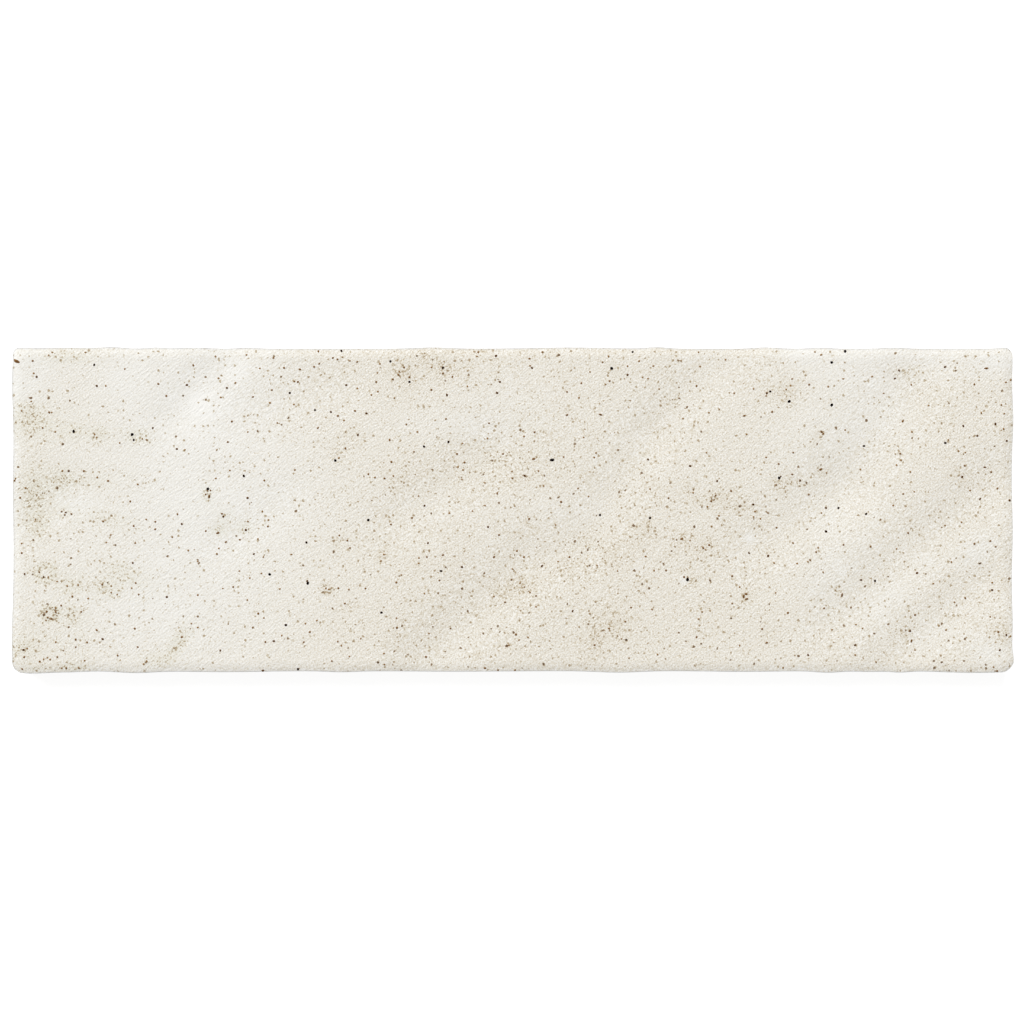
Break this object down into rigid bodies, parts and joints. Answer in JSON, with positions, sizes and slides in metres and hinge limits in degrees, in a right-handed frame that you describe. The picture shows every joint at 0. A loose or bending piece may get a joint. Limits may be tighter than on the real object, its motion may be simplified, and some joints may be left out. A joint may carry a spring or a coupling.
{
  "type": "textured tile",
  "caption": "Flat oblong fired-clay wall tile with a matt, speckled, gently furrowed face, wavy pillowed edges and a keyed back for bonding.",
  "frame": {"origin": "middle of the tile's length and width, on the plane of its back", "axes": "+X along the tile's length, +Y across its width, +Z out of its glazed face"},
  "size_m": [0.2004, 0.0654, 0.009],
  "materials": {
    "matt_glaze": "matt off-white glaze with brown speckles"
  },
  "bodies": {
    "root": {"tile": "matt_glaze"}
  },
  "joints": []
}
